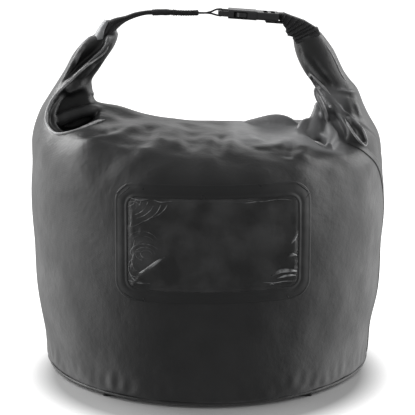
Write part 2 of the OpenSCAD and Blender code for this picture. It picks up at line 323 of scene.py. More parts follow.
def tarpaulin():
    """Satin coated fabric: a fine scrim under the coating, soft dents, and ridges and folds painted lighter,
    partly as wear and partly as a painted highlight.
    """
    m, shader = material("coated_tarpaulin", (0.02, 0.0203, 0.021), 0.38, 0.5)
    coords = node(m, "ShaderNodeTexCoord")
    cloud = noise(m, coords, 22, 5)
    tint = ramp(m, cloud, "Fac", LOW, HIGH, (0.013, 0.0133, 0.0138), (0.028, 0.0283, 0.0288))
    # Lighter where the mesh's attribute says: wear with a painted highlight on the ridges, a painted highlight on
    # the right-hand folds
    ridge_and_fold_light = node(m, "ShaderNodeAttribute", attribute_name="wear_and_highlight")
    lighter = node(m, "ShaderNodeMix", data_type="RGBA", B=(0.2, 0.202, 0.206, 1.0))
    link(m, ridge_and_fold_light, "Fac", lighter, "Factor")
    link(m, tint, "Result", lighter, "A")
    link(m, lighter, "Result", shader, "Base Color")
    satin = map_value(m, cloud, "Fac", LOW, HIGH, 0.46, 0.32)
    link(m, satin, "Result", shader, "Roughness")
    scrim = weave(m, coords, 1.1, [(0.707, 0.3, 0.707), (0.707, 0.3, -0.707)])
    relief(m, shader,
           (noise(m, coords, 48, 4), "Fac", 0.4, 0.002),
           (noise(m, coords, 150, 4), "Fac", 0.3, 0.0008),
           (scrim, "Value", 0.10, 0.00012),
           (noise(m, coords, 900, 2), "Fac", 0.12, 0.0002))
    return m


def clear_film():
    """Clear glossy film over the dark inside, with faint ripples."""
    m, shader = material("clear_film", (0.03, 0.031, 0.032), 0.14, 0.6,
                         Alpha=0.6, Coat_Weight=0.5, Coat_Roughness=0.06)
    coords = node(m, "ShaderNodeTexCoord")
    tint = ramp(m, noise(m, coords, 34, 5), "Fac", 0.35, 0.68, (0.02, 0.0205, 0.021), (0.11, 0.111, 0.113))
    link(m, tint, "Result", shader, "Base Color")
    relief(m, shader,
           (noise(m, coords, 55, 2), "Fac", 0.35, 0.0025),
           (noise(m, coords, 260, 2), "Fac", 0.12, 0.0004))
    return m


def film_crease():
    """The creases' light colour is a painted glint, where the clear film catches the light."""
    m, shader = material("film_crease_painted_glint", (0.2, 0.202, 0.205), 0.2, 0.8)
    coords = node(m, "ShaderNodeTexCoord")
    tint = ramp(m, noise(m, coords, 160), "Fac", 0.35, 0.65, (0.05, 0.051, 0.052), (0.34, 0.345, 0.35))
    link(m, tint, "Result", shader, "Base Color")
    relief(m, shader, (noise(m, coords, 500, 2), "Fac", 0.2, 0.0003))
    return m


# How much lighter than the hollows between them a textile's ribs are
RIB_LIGHT = 1.9


def woven(name, color, pitch, directions, depth, roughness=0.75):
    """Ribbed textile: ribs by a weave of waves, fibres by fine noise."""
    m, shader = material(name, color, roughness, 0.3, Sheen_Weight=0.15, Sheen_Roughness=0.5)
    coords = node(m, "ShaderNodeTexCoord")
    ribs = weave(m, coords, pitch, directions)
    tint = ramp(m, ribs, "Value", -1.2, 1.2, color, tuple(c * RIB_LIGHT for c in color))
    link(m, tint, "Result", shader, "Base Color")
    relief(m, shader, (ribs, "Value", depth, 0.00025), (noise(m, coords, 2500, 2), "Fac", 0.25, 0.0001))
    return m


def pebbled_rubber():
    """Matt rubber with a fine pebbled grain."""
    m, shader = material("pebbled_rubber", (0.012, 0.012, 0.012), 0.7, 0.3)
    coords = node(m, "ShaderNodeTexCoord")
    cells = node(m, "ShaderNodeTexVoronoi", Scale=700.0)
    link(m, coords, "Object", cells, "Vector")
    relief(m, shader, (cells, "Distance", 0.4, 0.0003))
    tint = ramp(m, noise(m, coords, 40), "Fac", LOW, HIGH, (0.01, 0.01, 0.01), (0.018, 0.018, 0.018))
    link(m, tint, "Result", shader, "Base Color")
    return m


CREASE_GLINT = film_crease()
# A lighter copy of the body's fabric: a painted highlight along the folds' edges
FOLD_EDGE_HIGHLIGHT = finish("fold_edge_painted_highlight", (0.2, 0.2, 0.2), 0.36, 0.5, (500, 2, 0.2, 0.0003),
                   tint=(140, (0.2, 0.201, 0.203), (0.42, 0.42, 0.425)))
# The milky liner that shows where the sleeve is cut
LINER = finish("milky_liner", (0.42, 0.43, 0.44), 0.45, 0.4, (400, 2, 0.2, 0.0003),
               tint=(90, (0.34, 0.35, 0.36), (0.5, 0.51, 0.52)), Transmission_Weight=0.25)
TARPAULIN = tarpaulin()
# The window's welded frame, and the buckle's black acetal
FRAMING = finish("welded_vinyl", (0.019, 0.0195, 0.02), 0.34, 0.45, (320, 2, 0.2, 0.0003),
                 satin=(120, 0.27, 0.42))
FILM = clear_film()
PLASTIC = finish("moulded_acetal", (0.036, 0.036, 0.038), 0.36, 0.5, (2200, 2, 0.15, 0.0001),
                 satin=(160, 0.30, 0.45))
RUBBER = pebbled_rubber()
STRIP = finish("stiffener_strip", (0.12, 0.12, 0.125), 0.5, 0.4, (300, 3, 0.2, 0.0002))
WEBBING = woven("ribbed_webbing", (0.026, 0.026, 0.027), 1.3, [(0.8, 0.0, -0.6)], 0.6)
CORD = woven("braided_cord", (0.015, 0.015, 0.016), 0.9, [(0.7, 0.7, 0.2), (0.7, -0.7, 0.2)], 0.7)
THREAD = woven("bonded_thread", (0.018, 0.018, 0.019), 0.7, [(0.5, 0.86, 0.0)], 0.4, 0.55)

# ---------------------------------------------------------------- the body's surface

# The base's radius, the belly's half width and half depth, the crest's height, the pad's thickness
BASE_R, BELLY_R, BELLY_D, CREST_H, PAD_T = 160.0, 174.0, 163.0, 236.0, 3.0
# The share of its height that the crest falls for each mm to the right, as the handle tilts
CREST_SLOPE = -ALONG[2] / ALONG[0] / CREST_H
# Points round a ring of the body, and steps from one of its rows to the next
SHELL_COLS, SHELL_STEPS = 360, 14

# Half width, front depth, front height, rear depth, rear height, height at the sides. The last
# rows go over the roll: the front layer wraps over it and down behind it.
SHELL_ROWS = [
    (BASE_R, BASE_R, PAD_T, BASE_R, PAD_T, PAD_T),
    (BASE_R + 1.5, BASE_R + 0.5, 12, BASE_R + 0.5, 12, 12),
    (BASE_R + 4, BELLY_D - 1, 35, BELLY_D - 1, 35, 35),
    (BASE_R + 9, BELLY_D, 72, BELLY_D, 72, 72),
    (BELLY_R - 2, BELLY_D - 1, 115, BELLY_D - 1, 115, 118),
    (BELLY_R, BELLY_D - 3, 155, BELLY_D - 5, 152, 160),
    (BELLY_R - 2, BELLY_D - 8, 190, BELLY_D - 13, 184, 193),
    (BELLY_R - 4, BELLY_D - 17, 210, BELLY_D - 25, 202, 213),
    (BELLY_R - 8.5, BELLY_D - 35, 223, BELLY_D - 51, 213, 227),
    (BELLY_R - 13, 98, 230.5, 80, 219, 235),
    (BELLY_R - 17, 58, 234.5, 50, 222, 242),
    (BELLY_R - 21, 24, 236.5, 34, 224, 250),
    (BELLY_R - 25, 6, 237, 27, 226, 257),
    (BELLY_R - 27, -8, 235.5, 24, 228, 257),
    (BELLY_R - 28, -15, 232, 21, 229.5, 252)]


# Where the slope of the crest begins, and the height over which it comes in
SLOPE_FROM, SLOPE_OVER = 188, 46


def shell_point(r, a):
    """The body's surface at ring row r and angle a (radians); the crest falls to the right."""
    s, c = np.sin(a), np.cos(a)
    front = s < 0
    w = s * s
    x = r[..., 0] * c
    y = np.where(front, r[..., 1], r[..., 3]) * s
    z = np.where(front, r[..., 2], r[..., 4]) * w + r[..., 5] * (1 - w)
    sloping = smooth((z - SLOPE_FROM) / SLOPE_OVER)
    return np.stack([x, y, z * (1 - CREST_SLOPE * x * sloping)], -1)


def body_solid():
    """The filled body as one closed skin, with its bottom and its top closed across."""
    rings = catmull(SHELL_ROWS, SHELL_STEPS)
    points = shell_point(rings[:, None, :], turns(SHELL_COLS)[None, :]).reshape(-1, 3)
    faces = grid_faces(len(rings), SHELL_COLS)
    last = (len(rings) - 1) * SHELL_COLS
    for start, turn in ((0, -1), (last, 1)):
        for k in range(SHELL_COLS // 2):
            quad = [start + k, start + k + 1, start + (SHELL_COLS - k - 1) % SHELL_COLS,
                    start + (SHELL_COLS - k) % SHELL_COLS]
            quad = list(dict.fromkeys(quad))
            if len(quad) > 2:
                faces.append(tuple(quad[::turn]))
    return points, faces


def loft_solid(stations, steps=8, around=6):
    """A closed skin through sections of (x, y, z) points in the handle's frame, top to bottom."""
    rows = catmull(np.array(stations, float).reshape(len(stations), -1), steps)
    rings = [catmull_loop(row.reshape(-1, 3), around) for row in rows]
    return handle_point(np.concatenate(rings)), tube_faces(len(rings), len(rings[0]))


def round_tube(path, radii, sides=14, steps=5):
    """A closed round tube of changing radius through row-frame points."""
    rows = catmull([(*p, r) for p, r in zip(path, radii)], steps)
    return tube_rows(rows[:, :3], rows[:, 3], sides)


def tube_rows(centre, radii, sides):
    """A closed round tube with a ring at every point of its centre line."""
    side, up = frames_along(centre)
    ring = np.stack([np.cos(turns(sides)), np.sin(turns(sides))], 1)
    points = (centre[:, None, :] + radii[:, None, None]
              * (ring[None, :, :1] * side[:, None, :] + ring[None, :, 1:] * up[:, None, :]))
    return points.reshape(-1, 3), tube_faces(len(centre), sides)


def joined(name, solids, material):
    """Several closed skins in one mesh."""
    points, faces, base = [], [], 0
    for p, f in solids:
        points.append(p)
        faces += [tuple(base + i for i in face) for face in f]
        base += len(p)
    return new_mesh(name, np.concatenate(points), faces, material)


# The direction of sight from the front and a little above, and the plane that paths are drawn on
VIEW_DOWN = math.radians(12.6)
VIEW = np.array([0.0, math.cos(VIEW_DOWN), -math.sin(VIEW_DOWN)])
FRONT_PLANE = -30.0
# How far before that plane the search for the surface starts
VIEW_START = 200


def surface_tree(obj):
    """Finds where rays meet an object."""
    return BVHTree.FromObject(obj, bpy.context.evaluated_depsgraph_get())


def drape(tree, path, lift=0.0, plane_y=FRONT_PLANE, steps=6):
    """A handle-frame path laid on a surface, as it is seen from the front and a little above.

    Returns row-frame points and the surface's normals there, lifted towards the viewer."""
    line = handle_point([(x, 0, z) for x, z in (catmull(path, steps) if steps else path)])
    line[:, 1] = plane_y
    found, normals = [], []
    for p in line:
        hit, normal, _, _ = tree.ray_cast(Vector((p - VIEW_START * VIEW) * MM), Vector(VIEW))
        if hit is None:
            found.append(p if not found else found[-1] + (p - last))
            normals.append(np.zeros(3))
        else:
            found.append(np.array(hit) / MM - VIEW * lift)
            normals.append(np.array(normal))
        last = p
    return np.array(found), np.array(normals)


def draped_tube(tree, path, radii, lift):
    """A round tube whose handle-frame path is laid on a surface."""
    centre, _ = drape(tree, path, lift, steps=0)
    return round_tube(centre, radii)


# Where the cutters start, before the shoulders
CUTTER_FRONT = -130


def view_cutter(name, outline, far_y, mouth_y, centre, shrink):
    """A prism over an outline in the handle's frame, swept backwards and a little down.

    Behind the mouth it narrows towards a centre, so the walls of the hollow slope."""
    outline = catmull_loop([(x, 0, z) for x, z in outline], 4)
    middle = np.array([centre[0], 0, centre[1]])
    rows = []
    for y, size in ((CUTTER_FRONT, 1.0), (mouth_y, 1.0), (far_y, shrink)):
        row = handle_point(middle + (outline - middle) * size)
        row[:, 1] = y
        row[:, 2] += (y - FRONT_PLANE) * VIEW[2] / VIEW[1]
        rows.append(row)
    return new_mesh(name, np.concatenate(rows), tube_faces(len(rows), len(outline)), TARPAULIN)


# ---------------------------------------------------------------- the arms' sections

# Each station runs over the front from the outer edge to the inner, then back over the rear:
# outer edge, band, leaf edge, leaf bottom, rim, mid slope, inner slope, inner edge, rear points.
LEFT_ARM = [
    [(-113, 0, -16.5), (-112.6, -5, -16.6), (-111.5, -9, -16.3), (-98, -5, -13.6), (-94.5, -13, -13.3),
     (-91.5, -9, -12.8), (-88.5, -6, -12.4), (-86, 0, -12), (-92, 8, -12.8), (-100, 10, -14),
     (-108, 8, -15.6)],
    [(-120, 0, -24), (-119.4, -6, -24), (-118, -12, -24), (-101, -5, -24), (-97.5, -16, -23.6),
     (-94.5, -11, -23), (-91.5, -8, -22.6), (-89.5, 0, -22.4), (-96, 10, -23), (-105, 12, -23.6),
     (-114, 9, -24)],
    [(-128.5, 0, -35.2), (-126.8, -7, -35.2), (-124, -14, -35.2), (-111.5, -5, -35), (-107, -19, -34),
     (-103, -12, -34), (-98.5, -9, -34), (-95.5, 0, -34), (-103, 12, -34.4), (-112, 14, -35),
     (-121, 11, -35)],
    [(-135.2, 0, -48), (-133.4, -8, -47.8), (-130.5, -16, -47), (-123.5, -8, -46.6), (-119, -22, -46),
     (-114, -14, -46), (-106.5, -11, -46), (-102, 0, -46), (-110, 14, -46.4), (-119, 16, -47),
     (-128, 13, -48)],
    [(-142, 0, -60.7), (-140.4, -9, -60.7), (-138, -18, -60.7), (-135.5, -18, -60.6),
     (-132.5, -24, -60.4), (-126, -17, -60), (-115, -14, -58.6), (-108.5, 0, -57.4), (-117, 16, -58),
     (-126, 18, -59), (-135, 14, -60)],
    [(-149, 0, -73.5), (-147.8, -9, -73.6), (-146, -17, -74), (-144, -23, -74.4), (-141.6, -28, -74.5),
     (-132, -26, -72), (-118, -18, -69), (-107.5, 2, -66), (-118, 18, -67.6), (-130, 21, -70),
     (-142, 16, -73)],
    [(-155, 0, -87), (-153.8, -11, -87.4), (-151.8, -21, -88), (-149.6, -29, -88.2),
     (-146.6, -36, -88.5), (-134, -36, -85), (-116, -26, -80), (-106, 6, -77), (-118, 23, -79),
     (-133, 27, -83), (-148, 19, -86)],
    [(-159.5, 0, -103), (-158.4, -14, -103), (-156, -26, -103), (-153, -36, -103), (-148.6, -45, -103),
     (-134, -52, -102), (-112, -40, -98), (-98, 8, -92), (-112, 30, -95), (-134, 34, -99),
     (-152, 22, -102)],
    [(-162, 0, -120), (-161, -16, -120), (-159, -28, -120), (-155, -40, -120), (-149, -50, -120),
     (-132, -60, -120), (-106, -46, -119), (-88, 8, -117), (-106, 32, -118), (-132, 38, -119),
     (-154, 24, -120)]]


def pillow(inner, outer, front, rear):
    """A plain soft section between an inner and an outer edge."""
    (xi, zi), (xo, zo) = inner, outer
    section = []
    for t, d in ((0.0, 0.0), (0.05, 0.45), (0.2, 0.82), (0.5, 1.0), (0.8, 0.78), (0.95, 0.4), (1.0, 0.0)):
        section.append((xi + (xo - xi) * t, -front * d, zi + (zo - zi) * t))
    for t, d in ((0.93, 0.6), (0.65, 0.98), (0.35, 0.98), (0.07, 0.6)):
        section.append((xi + (xo - xi) * t, rear * d, zi + (zo - zi) * t))
    return section


RIGHT_ARM = [pillow(*row) for row in (
    ((82.8, -2.6), (108.6, 4), 11, 10),
    ((84.7, -11), (114.5, -2), 13, 11),
    ((88, -19.7), (123, -11.4), 16, 12),
    ((92.7, -28.3), (129, -21), 18, 13),
    ((98.4, -36.9), (134.5, -30.5), 20, 14),
    ((105, -44.6), (141, -38.5), 21, 16),
    ((111, -53), (150, -47.6), 25, 20),
    ((118, -66), (157, -62), 33, 26),
    ((121, -80), (166, -77.5), 44, 34),
    ((119, -95), (173.4, -92), 55, 42),
    ((112, -110), (178, -108), 64, 50),
    ((104, -124), (180, -123), 67, 54))]

# Paths and radii of the rolled fabric: the roll's end, a fold and a stub inside the left shoulder's
# opening, then the curl of the roll at the right, its top and its ring
INNER_FOLDS = [
    ([(-145, -30, -101), (-137, -24, -96.5), (-128, -21, -91.5), (-117, -19, -87.5),
      (-105, -15, -85.5), (-92, -4, -90)], [3, 5, 6, 6, 6, 5]),
    ([(-123, -14, -66), (-132.5, -17, -73), (-138.8, -23, -82), (-141.5, -29, -91),
      (-139.5, -33, -99), (-133, -36, -105.5)], [1.5, 1.8, 2, 2, 2, 1.8]),
    ([(-106, 3, -17), (-98, 1, -13.5), (-91, -1, -11.5), (-87.5, -2, -11)], [4, 4.2, 4.2, 3]),
    ([(34, 6, -100), (52, 0, -91), (68, -5, -85.5), (82, -10, -87), (95, -16, -92.5),
      (110, -24, -96)], [4, 7, 8, 7.5, 7, 6]),
    ([(112, -8, -64), (112, -15, -74), (110, -24, -86), (108, -31, -98)], [4, 7, 9, 9.5]),
    ([(106.5, -22, -79), (100, -25, -81.5), (97, -28, -87), (98.5, -31, -93), (104, -34, -98)],
     [3, 4, 4.4, 4.4, 4])]
# The folds hung on the right shoulder, as seen from the front: path, radii and lift
HUNG_FOLDS = [
    ([(107, -46), (110, -54), (117, -66), (122, -76), (125, -85), (125, -95), (120, -105)],
     [2.5, 3.5, 4.6, 5.6, 6.2, 6, 4.2], 1.2),
    ([(102, -33), (111, -43), (120, -53), (131, -64), (142, -74), (151, -84), (156.5, -94),
      (155, -100)], [3, 4, 3.4, 3, 2.6, 2.5, 2.4, 1.8], 0.6),
    ([(137, -74), (145, -88), (151, -97), (155, -100)], [0.8, 1.8, 2, 1.8], 0.6)]

# Outlines of the two hollows beside the roll's ends, as seen from the front
LEFT_PIT = [(-134.5, -63), (-130, -67), (-123, -63.5), (-116, -60), (-110, -60), (-106, -69),
            (-100, -78), (-95, -86), (-97, -92), (-104.5, -98.5), (-111, -103),
            (-118, -106.5), (-126, -108.5), (-133, -109.5), (-139, -107), (-144, -102), (-146.5, -96),
            (-147, -89), (-145.5, -81), (-142, -73.5), (-138, -67)]
RIGHT_PIT = [(74, -81.5), (84, -87), (96, -93), (108, -99.5), (118.5, -105.5), (118, -95), (117.5, -84),
             (114, -73), (108, -64), (98, -66), (84, -74)]


# ---------------------------------------------------------------- camera, lights and stage

# The camera's place and what it looks at, in metres, and its lens and sensor in millimetres
CAMERA_PLACE, CAMERA_AIM = (0.0, -1.3, 0.44), (0.0, 0.0, 0.15)
CAMERA_LENS, CAMERA_SENSOR = 116.2, 36.0

# Each softbox: place, what it faces, width and height in metres, and power in watts
SOFTBOXES = {
    "left_softbox": ((-1.4, -0.1, 0.7), (0, 0, 0.15), 1.0, 1.2, 7),
    "right_softbox": ((1.4, -0.1, 0.7), (0, 0, 0.15), 1.0, 1.2, 5),
    "top_softbox": ((0, 1.5, 0.8), (0, 0, 0.2), 1.6, 0.6, 3),
    "left_high_softbox": ((-1.0, 0.55, 1.0), (0, 0, 0.25), 0.6, 0.8, 10),
    "right_high_softbox": ((1.0, 0.55, 1.0), (0, 0, 0.25), 0.6, 0.8, 4)}

# The room's light: how much the rear counts against the sides, where between the middle and the
# sides it starts to grow and is full, and how strong it is before and after that
REAR_SHARE, ROOM_FROM, ROOM_TO, ROOM_DIM, ROOM_BRIGHT = 0.34, 0.5, 1.05, 0.3, 1.8

# How far from the bag the floor starts to glow, and where it is plain white, in metres: nearer the bag the floor
# is a painted shadow
FLOOR_DARK, FLOOR_BRIGHT = 0.148, 0.187
# The glow is measured from a point before the bag's middle, so that the painted shadow falls to the front
SHADOW_CENTRE = (0.0, -0.05, 0.0)
FLOOR_HALF = 15000


def aimed(name, data, place, aim):
    """Puts a camera or a light at a place, turned towards what it faces."""
    obj = bpy.data.objects.new(name, data)
    bpy.context.scene.collection.objects.link(obj)
    obj.location = place
    obj.rotation_euler = (Vector(aim) - Vector(place)).to_track_quat("-Z", "Y").to_euler()
    return obj


def camera():
    data = bpy.data.cameras.new("camera")
    data.sensor_width = CAMERA_SENSOR
    data.lens = CAMERA_LENS
    data.clip_end = 60.0
    bpy.context.scene.camera = aimed("camera", data, CAMERA_PLACE, CAMERA_AIM)


def softbox(name, place, aim, width, height, power):
    light = bpy.data.lights.new(name, "AREA")
    light.shape = "RECTANGLE"
    light.size = width
    light.size_y = height
    light.energy = power
    aimed(name, light, place, aim)


def world_light():
    """A room that is bright at both sides, less so behind the bag and dim in front of it."""
    world = bpy.data.worlds.new("studio")
    bpy.context.scene.world = world
    world.use_nodes = True
    background = world.node_tree.nodes["Background"]
    background.inputs["Color"].default_value = (1, 1, 1, 1)
    split = node(world, "ShaderNodeSeparateXYZ")
    link(world, node(world, "ShaderNodeTexCoord"), "Generated", split, 0)
    sideways = node(world, "ShaderNodeMath", operation="ABSOLUTE")
    link(world, split, "X", sideways, 0)
    backwards = node(world, "ShaderNodeMath", operation="MULTIPLY_ADD")
    backwards.inputs[1].default_value = REAR_SHARE
    link(world, split, "Y", backwards, 0)
    link(world, sideways, 0, backwards, 2)
    fade = map_value(world, backwards, 0, ROOM_FROM, ROOM_TO, ROOM_DIM, ROOM_BRIGHT)
    fade.interpolation_type = "SMOOTHSTEP"
    seen = node(world, "ShaderNodeMix", B=1.0)
    link(world, node(world, "ShaderNodeLightPath"), "Is Camera Ray", seen, "Factor")
    link(world, fade, "Result", seen, "A")
    link(world, seen, "Result", background, "Strength")


def studio():
    """Softboxes at the sides, high at the sides and low behind, round a white floor that glows except in a painted
    shadow round the bag.
    """
    bpy.context.scene.view_settings.view_transform = "Standard"
    world_light()
    for name, box in SOFTBOXES.items():
        softbox(name, *box)
    m, shader = material("white_floor", (0.5, 0.5, 0.5), 0.9, 0.1, Emission_Color=(1.0, 1.0, 1.0, 1.0))
    coords = node(m, "ShaderNodeTexCoord")
    soft = ramp(m, noise(m, coords, 3), "Fac", LOW, HIGH, (0.49, 0.49, 0.49), (0.51, 0.51, 0.51))
    link(m, soft, "Result", shader, "Base Color")
    place = node(m, "ShaderNodeVectorMath", operation="SUBTRACT")
    place.inputs[1].default_value = SHADOW_CENTRE
    link(m, coords, "Object", place, 0)
    reach = node(m, "ShaderNodeVectorMath", operation="LENGTH")
    link(m, place, "Vector", reach, "Vector")
    # The floor's glow fades out near the bag: a painted shadow
    glow = map_value(m, reach, "Value", FLOOR_DARK, FLOOR_BRIGHT)
    link(m, glow, "Result", shader, "Emission Strength")
    corners = [(-FLOOR_HALF, -FLOOR_HALF, 0), (FLOOR_HALF, -FLOOR_HALF, 0),
               (FLOOR_HALF, FLOOR_HALF, 0), (-FLOOR_HALF, FLOOR_HALF, 0)]
    floor = new_mesh("floor", corners, [(0, 1, 2, 3)], m)
    floor.visible_glossy = False
    floor.visible_diffuse = False


camera()
studio()

# ---------------------------------------------------------------- the fabric body

# The size of the cells the fabric is remeshed with, in metres
VOXEL = 0.0017


def cut(obj, cutter):
    """Takes a closed cutter out of a closed mesh."""
    modifier(obj, "BOOLEAN", operation="DIFFERENCE", object=cutter, solver="MANIFOLD")
    apply_modifiers(obj)
    bpy.data.objects.remove(cutter)


def remesh(obj, size):
    """Makes one closed skin of all that a mesh holds."""
    modifier(obj, "REMESH", mode="VOXEL", voxel_size=size, use_smooth_shade=True)
    apply_modifiers(obj)


def vertex_array(obj):
    """A mesh's points, in mm."""
    out = np.empty(len(obj.data.vertices) * 3)
    obj.data.vertices.foreach_get("co", out)
    return out.reshape(-1, 3) / MM


def normal_array(obj):
    """The direction out of a mesh at each of its points."""
    out = np.empty(len(obj.data.vertices) * 3)
    obj.data.vertex_normals.foreach_get("vector", out)
    return out.reshape(-1, 3)


def set_vertices(obj, points):
    """Moves a mesh's points to places given in mm."""
    obj.data.vertices.foreach_set("co", (points * MM).ravel())
    obj.data.update()


def to_handle(points):
    """Row-frame points, in mm, in the handle's own frame."""
    q = points - HANDLE
    return np.stack([q @ ALONG, q[:, 1], q @ UP], 1)


def soften(obj, low, high, rounds):
    """Smooths what lies inside a box in the handle's frame, with a soft border."""
    group = obj.vertex_groups.new(name="soft")
    points = to_handle(vertex_array(obj))
    inside = np.min([smooth((points - low) / 5).min(1), smooth((high - points) / 5).min(1)], 0)
    for k in np.flatnonzero(inside > 0.02):
        group.add([int(k)], float(inside[k]), "REPLACE")
    modifier(obj, "SMOOTH", factor=0.6, iterations=rounds, vertex_group="soft")
    apply_modifiers(obj)
    obj.vertex_groups.clear()


def fabric_body():
    """The body and both arms as one skin, with the hollows cut and the loose folds laid in.

    Also returns the surface as it was before the hollows were cut."""
    solids = [body_solid(), loft_solid(LEFT_ARM), loft_solid(RIGHT_ARM)]
    body = joined("bag_shell", solids, TARPAULIN)
    remesh(body, VOXEL)
    outer = surface_tree(body)
    cut(body, view_cutter("left_pit", LEFT_PIT, far_y=-10, mouth_y=-44, centre=(-126, -76), shrink=0.78))
    cut(body, view_cutter("right_pit", RIGHT_PIT, far_y=-35, mouth_y=-50, centre=(104, -84), shrink=0.72))
    extra = [round_tube(handle_point(path), radii) for path, radii in INNER_FOLDS]
    extra += [draped_tube(outer, *fold) for fold in HUNG_FOLDS]
    folds = joined("folds", extra, TARPAULIN)
    with bpy.context.temp_override(active_object=body, selected_editable_objects=[body, folds]):
        bpy.ops.object.join()
    remesh(body, VOXEL * 0.9)
    modifier(body, "SMOOTH", factor=0.5, iterations=2)
    apply_modifiers(body)
    soften(body, low=(-146, -43, -106), high=(-86, 20, -62), rounds=18)
    soften(body, low=(92, -60, -110), high=(126, 10, -62), rounds=3)
    return body, outer


bag_shell, uncut = fabric_body()


# ---------------------------------------------------------------- folds pressed into the fabric

# Each mark is a path in the handle's frame as seen from the front, a width, and a height.
ARM_MARKS = [
    ([(87, -14), (91, -24), (98, -34), (106, -43), (114, -51)], 2.6, -3.2),
    ([(92, -9), (97, -20), (105, -30), (112, -38), (119, -45)], 3.2, 2.0),
    ([(97, -14), (104, -24), (112, -33), (120, -41), (125, -46)], 2.6, -3.0),
    ([(122, -50), (131, -50.5), (139, -51), (146, -51)], 2.6, -1.2),
    ([(124, -45.5), (131, -46.8), (139, -47.2), (148, -46)], 1.6, 1.7),
    ([(119, -48), (127, -56), (137, -65), (149, -77), (160, -84), (169, -90)], 1.3, -1.2),
    ([(113, -60), (121, -68), (128, -77), (134, -88), (136, -98)], 3.4, -5.0),
    ([(134, -72), (142, -82), (148, -91)], 1.6, -3.0),
    ([(134, -60), (137, -68), (141, -74)], 3, -1.6),
    ([(146, -56), (149, -66), (152, -74)], 3, 1.4),
    ([(-137, -56), (-131, -48), (-126, -40), (-122, -31), (-117, -22)], 1.4, 1.5),
    ([(-104, -35), (-110, -41), (-117, -48), (-123, -55)], 3.4, 1.6),
    ([(-99, -32), (-106, -42), (-112, -50), (-119, -57)], 3.0, -2.2),
    ([(-107, -57), (-107, -62), (-109, -66)], 3, 3.0)]

# Creases of the crumpled shoulder: fingers of fabric that hang from the roll
SHOULDER_MARKS = [
    ([(-21, -90), (-22, -100), (-20, -112), (-21, -124)], 7, 1.7),
    ([(-8, -96), (-6, -108), (-7, -122)], 8, -1.6),
    ([(10, -92), (13, -102), (12, -114)], 7, 1.2),
    ([(20, -98), (18, -110), (19, -124)], 6, -1.7),
    ([(27, -90), (30, -104), (26, -122)], 6, 1.7),
    ([(45, -92), (50, -101), (62, -106)], 7, 1.4),
    ([(36, -104), (52, -112), (70, -112)], 6, -1.2),
    ([(84, -99), (83, -112), (80, -121)], 6, -2.1),
    ([(92, -103), (96, -112), (88, -121)], 7, 1.6),
    ([(70, -93), (78, -103), (70, -111)], 7, 1.4),
    ([(-60, -92), (-66, -101), (-76, -108), (-82, -116)], 7, 1.7),
    ([(-48, -94), (-46, -106), (-50, -120)], 7, -1.6),
    ([(-38, -92), (-36, -104), (-33, -114)], 7, 1.2),
    ([(-92, -96), (-88, -104), (-93, -112), (-104, -116)], 6, 1.6),
    ([(-74, -100), (-88, -108), (-108, -110)], 5, -1.4),
    ([(-112, -112), (-98, -118), (-78, -120)], 6, 0.9),
    ([(-70, -112), (-60, -120), (-62, -130)], 7, -1.0),
    ([(-134, -112), (-126, -126), (-117, -141), (-108, -154)], 12, 0.6),
    ([(-104, -158), (-122, -164), (-144, -166)], 9, 0.5)]


def press(obj, marks):
    """Presses marks into a mesh: ridges stand out and valleys sink in, along its normals."""
    tree = surface_tree(obj)
    points, out = vertex_array(obj), normal_array(obj)
    moved = points.copy()
    for path, width, height in marks:
        line, _ = drape(tree, path)
        low, high = line.min(0) - 4 * width, line.max(0) + 4 * width
        near = np.all((points > low) & (points < high), 1)
        p = points[near]
        best = np.full(len(p), 1e9)
        along = np.zeros(len(p))
        for k, (a, b) in enumerate(zip(line[:-1], line[1:])):
            ab = b - a
            u = np.clip((p - a) @ ab / (ab @ ab), 0, 1)
            d = np.linalg.norm(p - a - u[:, None] * ab, axis=1)
            closer = d < best
            best = np.where(closer, d, best)
            along = np.where(closer, (k + u) / (len(line) - 1), along)
        taper = smooth(along / 0.3) * smooth((1 - along) / 0.3)
        rise = height * np.exp(-(best / width) ** 2) * (0.15 + 0.85 * taper)
        moved[near] += out[near] * rise[:, None]
    set_vertices(obj, moved)


def crumple(obj):
    """Soft dents all over, sharper ones on the shoulder, and puckers along the bottom weld."""
    points, out = vertex_array(obj), normal_array(obj)
    z = points[:, 2]
    shoulder = smooth((z - 185) / 30) * smooth((262 - z) / 20)
    height = 0.9 * value_noise(points, 110, 4) + 0.25 * value_noise(points, 45, 8)
    flattened = points * (1, 1, 1.3)
    height += shoulder * (1.2 * value_noise(flattened, 70, 3) + 0.35 * value_noise(points, 38, 5))
    around = np.arctan2(points[:, 1], points[:, 0]) * BASE_R
    pucker = value_noise(columns(around, z * 0.35, 0), 16, 6)
    height += pucker * 0.45 * smooth((34 - z) / 20) * smooth((z - 6) / 5)
    set_vertices(obj, points + out * height[:, None])


# How often the surface is evened out to compare with, and from what height and over what height a ridge that
# stands out of it is painted lighter, partly as wear and partly as a painted highlight
RIDGE_ROUNDS, RIDGE_FROM, RIDGE_DEPTH = 8, 0.12, 1.0
# The part of the right-hand folds, in the handle's frame, that is painted lighter all over: a painted highlight
FOLD_LIGHT_LOW, FOLD_LIGHT_HIGH, FOLD_LIGHT = (20, -90, -112), (142, 12, -40), 0.85


